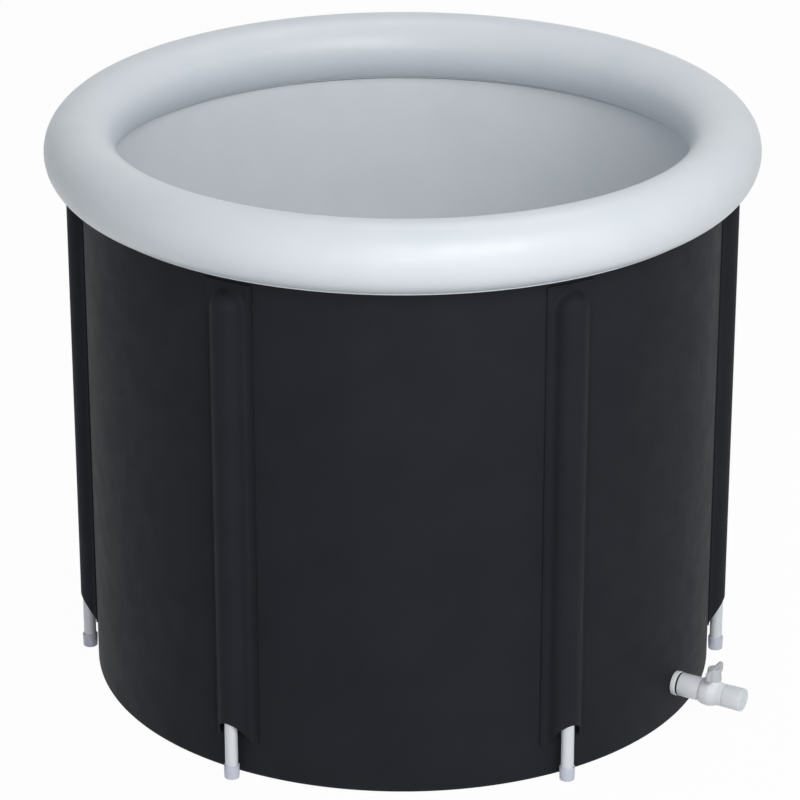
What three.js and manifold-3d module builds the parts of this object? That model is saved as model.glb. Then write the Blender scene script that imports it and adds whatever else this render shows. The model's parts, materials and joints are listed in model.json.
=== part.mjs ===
// Round cold plunge tub: a layered soft wall, an inflated rim ring, side poles in welded pockets
// and a drain ball valve. Millimetres, +Z up. The origin is the centre of the base, on the floor.
// The front of the tub faces -Y. Angles are counted from +X towards +Y, in degrees.
import * as THREE from "three";
import { mergeVertices } from "three/addons/utils/BufferGeometryUtils.js";
import Module from "manifold-3d";

const wasm = await Module();
wasm.setup();

// Clearances
const SEAT_GAP = 0.3; // between two pieces that rest on each other
const POLE_CLEARANCE = 0.5; // pole in the channel of its pocket
const RUNNING_GAP = 0.3; // around pieces that turn or pull out

// Layered wall and base
const WALL_DIAMETER = 800; // outside of the outer skin
const WALL_HEIGHT = 658; // floor to the top edge of the wall
const SKIN_THICKNESS = 1.2;
const FOAM_THICKNESS = 5;
const LINER_THICKNESS = 1;
const BASE_THICKNESS = 1.2;
const BASE_FOAM_THICKNESS = 5;
const BASE_FILLET = 14; // outside radius where the skin turns under
const HEM_WIDTH = 20; // flat turn-in of the skin on the base sheet
const FLOOR_CORNER = 10; // radius where the liner floor turns up
const FLOOR_UPSTAND = 30; // height of the liner floor's turned-up edge

// Inflated ring and the band that welds it to the wall
const RING_WIDTH = 88.6; // across the tube, radially
const RING_HEIGHT = 85.8; // across the tube, vertically
const RING_OVERHANG = 45.7; // how far the ring stands out past the wall
const RING_SKIN = 1.2;
const BAND_WIDTH = 26;
const BAND_THICKNESS = 1.5;

// Poles, their caps and pockets
const POLE_COUNT = 6;
const POLE_DIAMETER = 16;
const POLE_WALL = 1.6;
const POLE_STANDOFF = 4.5; // between the wall and the pole
const CAP_DIAMETER = 19.6;
const CAP_HEIGHT = 17;
const CAP_FLOOR = 3;
const CAP_ROUND = 2; // radius of the cap's bottom edge
const PLUG_COLLAR = 2; // straight rim of the top plug above the pipe
const PLUG_DOME = 6; // height of the top plug's rounded end
const PLUG_SHANK = 12; // length of the top plug inside the pipe
const POCKET_SKIN = 1.6;
const POCKET_WIDTH = 64; // welded strip, edge to edge
const POCKET_BOTTOM = 46; // height of the strip's lower edge
const POCKET_TOP = 650; // height of the strip's upper edge
const DOME_CENTRE = 618.5; // height where the channel starts to close
const CHANNEL_FLARE = 10.9; // how far the channel spreads past the pole, on each side
const POCKET_BLEND = 4; // width of the soft crease at the channel's foot
const BLEND_ANGLE = 21; // where the crease leaves the channel's rounded crown
const MOUTH_ANGLE = 55; // slope of the slanted mouth
const MOUTH_ROUND = 9; // how far the mouth's outer corner is drawn up

// Drain, from the inside of the tub outwards
const DRAIN_ANGLE = -30;
const DRAIN_HEIGHT = 52;
const BORE_DIAMETER = 16; // water way
const TUBE_DIAMETER = 24; // threaded tube through the wall
const FLANGE_DIAMETER = 40;
const FLANGE_THICKNESS = 3;
const GASKET_THICKNESS = 1.5;
const STRAINER_DIAMETER = 26;
const STRAINER_THICKNESS = 1.6;
const STRAINER_SKIRT = 6; // length of the strainer's skirt in the bore
const STRAINER_WALL = 1.5;
const STRAINER_SLOTS = 3;
const STRAINER_SLOT_WIDTH = 2.4;
const COLLAR_DIAMETER = 31;
const COLLAR_THICKNESS = 6.6;
const SEAL_DIAMETER = 29.6;
const SEAL_THICKNESS = 1.9;
const SOCKET_DIAMETER = 30;
const SOCKET_LENGTH = 29;
const SOCKET_DEPTH = 20; // how deep the tube goes into the socket
const BULGE_DIAMETER = 36;
const BULGE_LENGTH = 32;
const BULGE_EDGE = 30.4; // diameter where the bulge starts
const OUTLET_DIAMETER = 29;
const OUTLET_FLARE = 30; // diameter at the outlet's end
const OUTLET_LENGTH = 24.5;
const OUTLET_CHAMFER = 1.2;
const EDGE_BREAK = 0.8; // small chamfers on the socket and the collar

// Ball, seats, stem and handle of the drain valve
const BALL_DIAMETER = 25;
const CHAMBER_DIAMETER = 26;
const SEAT_DIAMETER = 22;
const SEAT_DEPTH = 13; // back of a seat from the ball's centre
const SEAT_POCKET = 8; // mouth of a seat's pocket from the ball's centre
const INSERT_DIAMETER = 25.4; // outlet's spigot inside the body
const STEM_DIAMETER = 7.8;
const STEM_TOP = 29; // above the pipe's axis
const TONGUE_WIDTH = 3.4;
const TONGUE_LENGTH = 7;
const TONGUE_BOTTOM = 9.9;
const NECK_DIAMETER = 11.6;
const NECK_TOP = 22;
const STEM_SEAL_DIAMETER = 9.6;
const STEM_SEAL_HEIGHT = 1.8;
const HUB_DIAMETER = 15;
const HUB_BOTTOM = 18.4;
const HUB_TOP = 33;
const WING_SPAN = 46;
const WING_THICKNESS = 5.6;
const WING_BOTTOM = 21.6; // underside at the tip, above the pipe's axis
const WING_TOP = 35.6; // upper edge at the tip
const WING_ROUND = 3; // radius of the tip's corners

// Outlet plug
const PLUG_DIAMETER = 22;
const PLUG_LENGTH = 12;
const PLUG_SEAL_WIDTH = 2;
const PLUG_SEAL_DEPTH = 1.2;
const COIN_SLOT_LENGTH = 14;
const COIN_SLOT_WIDTH = 2.2;
const COIN_SLOT_DEPTH = 1.4;

// Inflation valve at the rear of the ring
const AIR_ANGLE = 90;
const AIR_FLANGE_DIAMETER = 34;
const AIR_FLANGE_THICKNESS = 1.2;
const AIR_BOSS_DIAMETER = 21;
const AIR_BORE = 15;
const AIR_DEPTH = 12; // boss inside the ring
const AIR_RIM = 2.5; // boss outside the ring
const SPIDER_WIDTH = 3;
const SPIDER_THICKNESS = 1.5;
const FLAP_DIAMETER = 19;
const FLAP_THICKNESS = 0.8;
const FLAP_STEM = 2;
const FLAP_BULB = 3.6;
const CAP_HEAD_DIAMETER = 20.4;
const CAP_HEAD_THICKNESS = 2.2;
const CAP_PLUG_DEPTH = 3;
const CAP_PLUG_TAPER = 0.6;
const STRAP_WIDTH = 7;
const STRAP_THICKNESS = 1.2;
const STRAP_REACH = 15.5; // from the valve's axis to the strap's root

// Facets
const ROUND_STEPS = 54; // around the tub
const TUBE_STEPS = 16; // around the ring's tube, outside
const HOLLOW_STEPS = 8; // around the ring's tube, inside
const BORE_STEPS = 16; // around the drain and the inflation valve
const POLE_STEPS = 12; // around the poles and their caps
const ARC_STEPS = 2; // along a rounded edge
const CROWN_STEPS = 3; // over half of a pocket's channel
const BULGE_STEPS = 6; // along the valve body's rounded middle
const WELD_TOLERANCE = 1e-4; // corners closer than this are one

// Places worked out from the sizes above
const wallRadius = WALL_DIAMETER / 2;
const skinInside = wallRadius - SKIN_THICKNESS;
const foamOutside = skinInside - SEAT_GAP;
const foamInside = foamOutside - FOAM_THICKNESS;
const linerOutside = foamInside - SEAT_GAP;
const linerInside = linerOutside - LINER_THICKNESS;
const hemBottom = BASE_THICKNESS + SEAT_GAP;
const hemTop = hemBottom + SKIN_THICKNESS;
const filletRadius = wallRadius - BASE_FILLET;
const filletHeight = hemBottom + BASE_FILLET;
const baseFoamBottom = hemTop + SEAT_GAP;
const baseFoamTop = baseFoamBottom + BASE_FOAM_THICKNESS;
const floorBottom = baseFoamTop + SEAT_GAP;
const floorTop = floorBottom + LINER_THICKNESS;

const ringSemiWidth = RING_WIDTH / 2;
const ringSemiHeight = RING_HEIGHT / 2;
const ringRadius = wallRadius + RING_OVERHANG - ringSemiWidth;
const ringHeight = WALL_HEIGHT + SEAT_GAP + BAND_THICKNESS + SEAT_GAP + ringSemiHeight;

const poleRadius = wallRadius + POLE_STANDOFF + POLE_DIAMETER / 2;
const poleBottom = CAP_FLOOR + SEAT_GAP;
const poleTop = DOME_CENTRE - PLUG_COLLAR - SEAT_GAP;
const stripInside = wallRadius + SEAT_GAP;
const stripOutside = stripInside + POCKET_SKIN;
const channelInside = POLE_DIAMETER / 2 + POLE_CLEARANCE + CHANNEL_FLARE; // half width
const channelOutside = channelInside + POCKET_SKIN;
const channelRise = poleRadius + POLE_DIAMETER / 2 + POLE_CLEARANCE - stripInside;

const boreRadius = BORE_DIAMETER / 2;
const tubeRadius = TUBE_DIAMETER / 2;
const flangeRadius = FLANGE_DIAMETER / 2;
const tubeHole = tubeRadius + SEAT_GAP;
const gasketOutside = linerInside - flangeRadius * Math.tan(Math.PI / ROUND_STEPS) - SEAT_GAP;
const gasketInside = gasketOutside - GASKET_THICKNESS;
const flangeOutside = gasketInside - SEAT_GAP;
const flangeInside = flangeOutside - FLANGE_THICKNESS;
const collarStart = wallRadius + SEAT_GAP;
const collarEnd = collarStart + COLLAR_THICKNESS;
const sealStart = collarEnd + SEAT_GAP;
const sealEnd = sealStart + SEAL_THICKNESS;
const socketStart = sealEnd + SEAT_GAP;
const socketEnd = socketStart + SOCKET_LENGTH;
const socketFloor = socketStart + SOCKET_DEPTH;
const valveCentre = socketEnd + BULGE_LENGTH / 2;
const bodyEnd = socketEnd + BULGE_LENGTH;
const outletStart = bodyEnd + SEAT_GAP;
const outletEnd = outletStart + OUTLET_LENGTH;
const plugStart = outletEnd - PLUG_LENGTH;

const seatPocket = SEAT_DIAMETER / 2 + SEAT_GAP;
const stemSealBottom = NECK_TOP - SEAT_GAP - STEM_SEAL_HEIGHT;
const plugSealStart = plugStart + PLUG_SEAL_WIDTH;

const airSeat = ringRadius + ringSemiWidth; // ring's skin on the valve's axis
const airInner = airSeat - AIR_DEPTH;
const airOuter = airSeat + AIR_RIM;
const flangeTop = SEAT_GAP + AIR_FLANGE_THICKNESS; // valve flange above the ring's skin
const flangeDrop = Math.sqrt(1 - (STRAP_REACH / (ringSemiHeight + flangeTop)) ** 2);
const strapRoot = ringRadius + (ringSemiWidth + flangeTop) * flangeDrop + SEAT_GAP;

// A profile point list along an ellipse, from one angle to another.
function arc(centre, radii, from, to, steps = ARC_STEPS) {
  return Array.from({ length: steps + 1 }, (_, i) => {
    const angle = THREE.MathUtils.degToRad(from + ((to - from) * i) / steps);
    return [centre[0] + radii[0] * Math.cos(angle), centre[1] + radii[1] * Math.sin(angle)];
  });
}

// A body turned about Z from a profile of [radius, height] points, listed counter-clockwise.
function turned(profile, steps) {
  const onAxis = profile[0][0] === 0 && profile[profile.length - 1][0] === 0;
  const points = onAxis ? profile : [...profile, profile[0]];
  const outline = points.map(([radius, height]) => new THREE.Vector2(radius, height));
  return new THREE.LatheGeometry(outline, steps).rotateX(Math.PI / 2);
}

// A body turned about the X axis from [radius, distance] points.
function turnedAlongX(profile, steps = BORE_STEPS) {
  return turned(profile, steps).rotateY(Math.PI / 2);
}

// A plain round bar or ring between two distances, as a profile.
function sleeve(inside, outside, start, end) {
  return [[inside, start], [outside, start], [outside, end], [inside, end]];
}

function block(width, depth, height) {
  return new THREE.BoxGeometry(width, depth, height);
}

function toSolid(geometry) {
  const bare = geometry.clone();
  bare.deleteAttribute("normal");
  bare.deleteAttribute("uv");
  const merged = mergeVertices(bare, WELD_TOLERANCE);
  const vertProperties = new Float32Array(merged.attributes.position.array);
  const triVerts = new Uint32Array(merged.index.array);
  return new wasm.Manifold(new wasm.Mesh({ numProp: 3, vertProperties, triVerts }));
}

function toGeometry(solid) {
  const mesh = solid.getMesh();
  const geometry = new THREE.BufferGeometry();
  geometry.setAttribute("position", new THREE.BufferAttribute(mesh.vertProperties, 3));
  geometry.setIndex(new THREE.BufferAttribute(mesh.triVerts, 1));
  geometry.computeVertexNormals();
  return geometry;
}

function cut(geometry, ...cutters) {
  return toGeometry(cutters.reduce((solid, cutter) => solid.subtract(toSolid(cutter)), toSolid(geometry)));
}

function join(geometry, ...others) {
  return toGeometry(others.reduce((solid, other) => solid.add(toSolid(other)), toSolid(geometry)));
}

function common(geometry, other) {
  return toGeometry(toSolid(geometry).intersect(toSolid(other)));
}

// A closed sheet between two grids of points with the same rows and columns.
// Rows go up and columns go counter-clockwise, so that the first grid faces outwards.
function thickSheet(outer, inner) {
  const rows = outer.length;
  const columns = outer[0].length;
  const positions = [...outer, ...inner].flat().flatMap((point) => point.toArray());
  const front = (row, column) => row * columns + column;
  const back = (row, column) => rows * columns + front(row, column);
  const index = [];
  const quad = (a, b, c, d) => index.push(a, b, c, a, c, d);
  for (let row = 0; row < rows - 1; row += 1) {
    for (let column = 0; column < columns - 1; column += 1) {
      quad(front(row, column), front(row, column + 1), front(row + 1, column + 1), front(row + 1, column));
      quad(back(row, column), back(row + 1, column), back(row + 1, column + 1), back(row, column + 1));
    }
  }
  const lastRow = rows - 1;
  const lastColumn = columns - 1;
  for (let column = 0; column < lastColumn; column += 1) {
    quad(front(0, column + 1), front(0, column), back(0, column), back(0, column + 1));
    quad(front(lastRow, column), front(lastRow, column + 1), back(lastRow, column + 1), back(lastRow, column));
  }
  for (let row = 0; row < lastRow; row += 1) {
    quad(front(row, 0), front(row + 1, 0), back(row + 1, 0), back(row, 0));
    quad(front(row + 1, lastColumn), front(row, lastColumn), back(row, lastColumn), back(row + 1, lastColumn));
  }
  const geometry = new THREE.BufferGeometry();
  geometry.setAttribute("position", new THREE.Float32BufferAttribute(positions, 3));
  geometry.setIndex(index);
  geometry.computeVertexNormals();
  return geometry;
}

const finishes = {
  blackSkin: { color: 0x24262b, roughness: 0.55, metalness: 0 },
  whiteVinyl: { color: 0xe6ebf2, roughness: 0.45, metalness: 0 },
  foam: { color: 0xc9ccd0, roughness: 0.9, metalness: 0 },
  whitePlastic: { color: 0xe4e7ec, roughness: 0.4, metalness: 0 },
  capPlastic: { color: 0xb9b8c6, roughness: 0.5, metalness: 0 },
  handlePlastic: { color: 0xb9bcb8, roughness: 0.5, metalness: 0 },
  seatPlastic: { color: 0xf2f2ee, roughness: 0.35, metalness: 0 },
  blackRubber: { color: 0x141414, roughness: 0.7, metalness: 0 },
};

function piece(name, geometry, finish) {
  const mesh = new THREE.Mesh(geometry, new THREE.MeshStandardMaterial(finishes[finish]));
  mesh.name = name;
  return mesh;
}

function turnedGroup(angle, ...meshes) {
  const group = new THREE.Group();
  group.rotation.z = THREE.MathUtils.degToRad(angle);
  group.add(...meshes);
  return group;
}

// Round hole through the wall's layers for the drain's tube.
function drainHole() {
  const hole = sleeve(0, tubeHole, flangeInside, collarEnd);
  return turnedAlongX(hole)
    .translate(0, 0, DRAIN_HEIGHT)
    .rotateZ(THREE.MathUtils.degToRad(DRAIN_ANGLE));
}

function outerSkin() {
  const fillet = [filletRadius, filletHeight];
  const inside = BASE_FILLET - SKIN_THICKNESS;
  const hemEdge = filletRadius - HEM_WIDTH;
  const profile = [
    [hemEdge, hemBottom],
    ...arc(fillet, [BASE_FILLET, BASE_FILLET], -90, 0),
    [wallRadius, WALL_HEIGHT],
    [skinInside, WALL_HEIGHT],
    ...arc(fillet, [inside, inside], 0, -90),
    [hemEdge, hemTop],
  ];
  return cut(turned(profile, ROUND_STEPS), drainHole());
}

function wallFoam() {
  const profile = sleeve(foamInside, foamOutside, filletHeight, WALL_HEIGHT);
  return cut(turned(profile, ROUND_STEPS), drainHole());
}

function linerWall() {
  const profile = sleeve(linerInside, linerOutside, FLOOR_UPSTAND + SEAT_GAP, WALL_HEIGHT);
  return cut(turned(profile, ROUND_STEPS), drainHole());
}

function linerFloor() {
  const corner = [linerOutside - FLOOR_CORNER, floorBottom + FLOOR_CORNER];
  const inside = FLOOR_CORNER - LINER_THICKNESS;
  const profile = [
    [0, floorBottom],
    ...arc(corner, [FLOOR_CORNER, FLOOR_CORNER], -90, 0),
    [linerOutside, FLOOR_UPSTAND],
    [linerInside, FLOOR_UPSTAND],
    ...arc(corner, [inside, inside], 0, -90),
    [0, floorTop],
  ];
  return turned(profile, ROUND_STEPS);
}

function disc(radius, bottom, top) {
  return turned([[0, bottom], [radius, bottom], [radius, top], [0, top]], ROUND_STEPS);
}

function ringTube(offset, steps) {
  const radii = [ringSemiWidth + offset, ringSemiHeight + offset];
  return turned(arc([ringRadius, ringHeight], radii, 0, 360, steps).slice(0, -1), ROUND_STEPS);
}

function airRing() {
  const hole = turnedAlongX(sleeve(0, AIR_BOSS_DIAMETER / 2 + SEAT_GAP, airInner, airOuter))
    .translate(0, 0, ringHeight)
    .rotateZ(THREE.MathUtils.degToRad(AIR_ANGLE));
  return cut(ringTube(0, TUBE_STEPS), ringTube(-RING_SKIN, HOLLOW_STEPS), hole);
}

function ringBand() {
  const centre = [ringRadius, ringHeight];
  const spread = THREE.MathUtils.radToDeg(Math.asin(BAND_WIDTH / 2 / ringSemiWidth));
  const upper = [ringSemiWidth + SEAT_GAP, ringSemiHeight + SEAT_GAP];
  const lower = upper.map((radius) => radius + BAND_THICKNESS);
  const profile = [
    ...arc(centre, lower, 270 - spread, 270 + spread),
    ...arc(centre, upper, 270 + spread, 270 - spread),
  ];
  return turned(profile, ROUND_STEPS);
}

// Distances from the channel's middle line at which a pocket's sections have points.
function channelStations(halfWidth) {
  const crown = arc([0, 0], [halfWidth, channelRise], 90, BLEND_ANGLE, CROWN_STEPS);
  return [0, ...crown.slice(1).map(([distance]) => distance), halfWidth + POCKET_BLEND / 2];
}

// Rise of a pocket's surface above its strip: a half ellipse with a soft crease at its foot.
function channelHeight(distance, halfWidth) {
  const blend = THREE.MathUtils.degToRad(BLEND_ANGLE);
  const crownEdge = halfWidth * Math.cos(blend);
  const foot = halfWidth + POCKET_BLEND / 2;
  const crease = (channelRise * Math.sin(blend) * (foot - distance)) / (foot - crownEdge);
  const crown = channelRise * Math.sqrt(Math.max(1 - (distance / halfWidth) ** 2, 0));
  return distance <= crownEdge ? crown : Math.max(crease, 0);
}

// Height of the slanted mouth at a given radius, drawn up at its outer corner.
function mouthHeight(radius) {
  const share = (radius - stripInside) / (channelRise + POCKET_SKIN);
  const slant = (radius - stripInside) * Math.tan(THREE.MathUtils.degToRad(MOUTH_ANGLE));
  return POCKET_BOTTOM + slant + MOUTH_ROUND * share ** 4;
}

function polePocket() {
  const grid = (halfWidth, strip) => {
    const stations = channelStations(halfWidth);
    const half = [...stations, POCKET_WIDTH / 2];
    const across = [...half.slice(1).reverse().map((distance) => -distance), ...half];
    const radiusAt = (distance) => strip + channelHeight(distance, halfWidth);
    const point = (side, height, radius) => {
      const angle = side / wallRadius;
      return new THREE.Vector3(radius * Math.cos(angle), radius * Math.sin(angle), height);
    };
    const mouth = across.map((side) => {
      const radius = radiusAt(Math.abs(side));
      return point(side, mouthHeight(radius), radius);
    });
    const dome = stations.map((rise) =>
      across.map((side) => point(side, DOME_CENTRE + rise, radiusAt(Math.hypot(side, rise)))),
    );
    const top = across.map((side) => point(side, POCKET_TOP, strip));
    return [mouth, ...dome, top];
  };
  return thickSheet(grid(channelOutside, stripOutside), grid(channelInside, stripInside));
}

function pole() {
  const outside = POLE_DIAMETER / 2;
  return turned(sleeve(outside - POLE_WALL, outside, poleBottom, poleTop), POLE_STEPS);
}

function footCap() {
  const outside = CAP_DIAMETER / 2;
  const bore = POLE_DIAMETER / 2 + SEAT_GAP;
  const profile = [
    [0, 0],
    ...arc([outside - CAP_ROUND, CAP_ROUND], [CAP_ROUND, CAP_ROUND], -90, 0),
    [outside, CAP_HEIGHT],
    [bore, CAP_HEIGHT],
    [bore, CAP_FLOOR],
    [0, CAP_FLOOR],
  ];
  return turned(profile, POLE_STEPS);
}

function topPlug() {
  const rim = POLE_DIAMETER / 2;
  const shank = rim - POLE_WALL - SEAT_GAP;
  const rimBottom = DOME_CENTRE - PLUG_COLLAR;
  const dome = arc([0, DOME_CENTRE], [rim, PLUG_DOME], 0, 90).slice(0, -1);
  const profile = [
    [0, rimBottom - PLUG_SHANK],
    [shank, rimBottom - PLUG_SHANK],
    [shank, rimBottom],
    [rim, rimBottom],
    ...dome,
    [0, DOME_CENTRE + PLUG_DOME],
  ];
  return turned(profile, POLE_STEPS);
}

function poleGroup(number) {
  const standing = new THREE.Group();
  standing.position.x = poleRadius;
  standing.add(
    piece(`pole_${number}`, pole(), "whitePlastic"),
    piece(`foot_cap_${number}`, footCap(), "capPlastic"),
    piece(`top_plug_${number}`, topPlug(), "whitePlastic"),
  );
  const angle = ((number - 1) * 360) / POLE_COUNT;
  return turnedGroup(angle, piece(`pole_pocket_${number}`, polePocket(), "blackSkin"), standing);
}

// Drain pieces lie along X at the drain's height.
function drainTurned(profile) {
  return turnedAlongX(profile).translate(0, 0, DRAIN_HEIGHT);
}

function bulkhead() {
  const profile = [
    [boreRadius, flangeInside],
    [flangeRadius - EDGE_BREAK, flangeInside],
    [flangeRadius, flangeInside + EDGE_BREAK],
    [flangeRadius, flangeOutside],
    [tubeRadius, flangeOutside],
    [tubeRadius, socketFloor - SEAT_GAP],
    [boreRadius, socketFloor - SEAT_GAP],
  ];
  return drainTurned(profile);
}

function strainer() {
  const skirt = boreRadius - SEAT_GAP;
  const face = flangeInside - SEAT_GAP;
  const front = face - STRAINER_THICKNESS;
  const body = drainTurned([
    [0, front],
    [STRAINER_DIAMETER / 2 - EDGE_BREAK, front],
    [STRAINER_DIAMETER / 2, face],
    [skirt, face],
    [skirt, face + STRAINER_SKIRT],
    [skirt - STRAINER_WALL, face + STRAINER_SKIRT],
    [skirt - STRAINER_WALL, face],
    [0, face],
  ]);
  const opening = 2 * (skirt - STRAINER_WALL);
  const pitch = opening / STRAINER_SLOTS;
  const slots = Array.from({ length: STRAINER_SLOTS }, (_, i) => {
    const across = (i - (STRAINER_SLOTS - 1) / 2) * pitch;
    const chord = 2 * Math.sqrt((opening / 2) ** 2 - (Math.abs(across) + STRAINER_SLOT_WIDTH / 2) ** 2);
    const slot = block(3 * STRAINER_THICKNESS, STRAINER_SLOT_WIDTH, chord);
    return slot.translate(face, across, DRAIN_HEIGHT);
  });
  return cut(body, ...slots);
}

function lockCollar() {
  const outside = COLLAR_DIAMETER / 2;
  const profile = [
    [tubeHole, collarStart],
    [outside, collarStart],
    [outside, collarEnd - EDGE_BREAK],
    [outside - EDGE_BREAK, collarEnd],
    [tubeHole, collarEnd],
  ];
  return drainTurned(profile);
}

// A body turned about the valve's upright axis, with heights counted from the pipe's axis.
function upright(profile) {
  return turned(profile, BORE_STEPS).translate(valveCentre, 0, DRAIN_HEIGHT);
}

function valveBody() {
  const socket = SOCKET_DIAMETER / 2;
  const edge = BULGE_EDGE / 2;
  const crown = [BULGE_LENGTH / 2, BULGE_DIAMETER / 2 - edge];
  const bulge = arc([valveCentre, edge], crown, 180, 0, BULGE_STEPS).map(([distance, radius]) => [radius, distance]);
  const chamber = CHAMBER_DIAMETER / 2;
  const shell = drainTurned([
    [tubeHole, socketStart],
    [socket - EDGE_BREAK, socketStart],
    [socket, socketStart + EDGE_BREAK],
    [socket, socketEnd - EDGE_BREAK],
    [socket - EDGE_BREAK, socketEnd],
    ...bulge,
    [chamber, bodyEnd],
    [chamber, valveCentre - SEAT_POCKET],
    [seatPocket, valveCentre - SEAT_POCKET],
    [seatPocket, valveCentre - SEAT_DEPTH - SEAT_GAP],
    [boreRadius, valveCentre - SEAT_DEPTH - SEAT_GAP],
    [boreRadius, socketFloor],
    [tubeHole, socketFloor],
  ]);
  const neck = upright(sleeve(0, NECK_DIAMETER / 2, chamber + SEAT_GAP, NECK_TOP));
  const above = NECK_TOP + SEAT_GAP;
  const stemBore = upright(sleeve(0, STEM_DIAMETER / 2 + RUNNING_GAP, 0, above));
  const sealPocket = upright(sleeve(0, STEM_SEAL_DIAMETER / 2 + SEAT_GAP, stemSealBottom - SEAT_GAP, above));
  return cut(join(shell, neck), stemBore, sealPocket);
}

function valveOutlet() {
  const insert = INSERT_DIAMETER / 2;
  const flare = OUTLET_FLARE / 2;
  const plugBore = PLUG_DIAMETER / 2 + RUNNING_GAP;
  const seatBack = valveCentre + SEAT_DEPTH + SEAT_GAP;
  return drainTurned([
    [seatPocket, valveCentre + SEAT_POCKET],
    [insert, valveCentre + SEAT_POCKET],
    [insert, outletStart],
    [OUTLET_DIAMETER / 2, outletStart],
    [flare, outletEnd - OUTLET_CHAMFER],
    [flare - OUTLET_CHAMFER, outletEnd],
    [plugBore, outletEnd],
    [plugBore, plugStart - SEAT_GAP],
    [boreRadius, plugStart - SEAT_GAP],
    [boreRadius, seatBack],
    [seatPocket, seatBack],
  ]);
}

// A ring that cups the ball on one side, -1 towards the tub or 1 towards the outlet.
function ballSeat(side) {
  const cup = BALL_DIAMETER / 2 + RUNNING_GAP;
  const outside = SEAT_DIAMETER / 2;
  const rimAngle = THREE.MathUtils.radToDeg(Math.acos(outside / cup));
  const boreAngle = THREE.MathUtils.radToDeg(Math.acos(boreRadius / cup));
  const face = arc([0, 0], [cup, cup], boreAngle, rimAngle);
  const profile = [...face, [outside, SEAT_DEPTH], [boreRadius, SEAT_DEPTH]];
  const ordered = side > 0 ? profile : profile.reverse();
  return drainTurned(ordered.map(([radius, distance]) => [radius, valveCentre + side * distance]));
}

// The ball is closed at rest: its water way lies across the pipe.
function valveBall() {
  const radius = BALL_DIAMETER / 2;
  const waterWay = new THREE.CylinderGeometry(boreRadius, boreRadius, 2 * BALL_DIAMETER, BORE_STEPS);
  const slotBottom = TONGUE_BOTTOM - SEAT_GAP;
  const slotHeight = radius - slotBottom + SEAT_GAP;
  const slot = block(TONGUE_WIDTH + 2 * SEAT_GAP, TONGUE_LENGTH + 2 * SEAT_GAP, slotHeight);
  slot.translate(0, 0, slotBottom + slotHeight / 2);
  const ball = cut(new THREE.SphereGeometry(radius, BORE_STEPS, BORE_STEPS / 2), waterWay, slot);
  return ball.translate(valveCentre, 0, DRAIN_HEIGHT);
}

function valveStem() {
  const foot = BALL_DIAMETER / 2 + SEAT_GAP;
  const shaft = upright(sleeve(0, STEM_DIAMETER / 2, foot, STEM_TOP));
  const tongueHeight = foot + SEAT_GAP - TONGUE_BOTTOM;
  const tongue = block(TONGUE_WIDTH, TONGUE_LENGTH, tongueHeight);
  tongue.translate(valveCentre, 0, DRAIN_HEIGHT + TONGUE_BOTTOM + tongueHeight / 2);
  return join(shaft, tongue);
}

function stemSeal() {
  const inside = STEM_DIAMETER / 2 + RUNNING_GAP;
  const top = stemSealBottom + STEM_SEAL_HEIGHT;
  return upright(sleeve(inside, STEM_SEAL_DIAMETER / 2, stemSealBottom, top));
}

// Outline of the butterfly wings, seen along the pipe, with its middle dipping to the hub's top.
function handleWings() {
  const tip = WING_SPAN / 2;
  const corner = tip - WING_ROUND;
  const quarter = Math.PI / 2;
  const outline = new THREE.Shape();
  outline.moveTo(-corner, WING_BOTTOM);
  outline.lineTo(corner, WING_BOTTOM);
  outline.absarc(corner, WING_BOTTOM + WING_ROUND, WING_ROUND, -quarter, 0);
  outline.absarc(corner, WING_TOP - WING_ROUND, WING_ROUND, 0, quarter);
  outline.quadraticCurveTo(corner / 2, HUB_TOP, 0, HUB_TOP);
  outline.quadraticCurveTo(-corner / 2, HUB_TOP, -corner, WING_TOP);
  outline.absarc(-corner, WING_TOP - WING_ROUND, WING_ROUND, quarter, 2 * quarter);
  outline.absarc(-corner, WING_BOTTOM + WING_ROUND, WING_ROUND, 2 * quarter, 3 * quarter);
  const options = { depth: WING_THICKNESS, bevelEnabled: false, curveSegments: ARC_STEPS };
  return new THREE.ExtrudeGeometry(outline, options)
    .rotateX(quarter)
    .rotateZ(quarter)
    .translate(valveCentre - WING_THICKNESS / 2, 0, DRAIN_HEIGHT);
}

function valveHandle() {
  const hubRadius = HUB_DIAMETER / 2;
  const hub = upright([
    [0, HUB_BOTTOM],
    [hubRadius, HUB_BOTTOM],
    [hubRadius, HUB_TOP - EDGE_BREAK],
    [hubRadius - EDGE_BREAK, HUB_TOP],
    [0, HUB_TOP],
  ]);
  const below = HUB_BOTTOM - SEAT_GAP;
  const neckSocket = upright(sleeve(0, NECK_DIAMETER / 2 + RUNNING_GAP, below, NECK_TOP + RUNNING_GAP));
  const stemSocket = upright(sleeve(0, STEM_DIAMETER / 2 + SEAT_GAP, below, STEM_TOP + SEAT_GAP));
  return cut(join(hub, handleWings()), neckSocket, stemSocket);
}

function outletPlug() {
  const outside = PLUG_DIAMETER / 2;
  const groove = outside - PLUG_SEAL_DEPTH;
  const body = drainTurned([
    [0, plugStart],
    [outside, plugStart],
    [outside, plugSealStart - SEAT_GAP],
    [groove, plugSealStart - SEAT_GAP],
    [groove, plugSealStart + PLUG_SEAL_WIDTH + SEAT_GAP],
    [outside, plugSealStart + PLUG_SEAL_WIDTH + SEAT_GAP],
    [outside, outletEnd - EDGE_BREAK],
    [outside - EDGE_BREAK, outletEnd],
    [0, outletEnd],
  ]);
  const slot = block(2 * COIN_SLOT_DEPTH, COIN_SLOT_LENGTH, COIN_SLOT_WIDTH);
  return cut(body, slot.translate(outletEnd, 0, DRAIN_HEIGHT));
}

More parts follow.
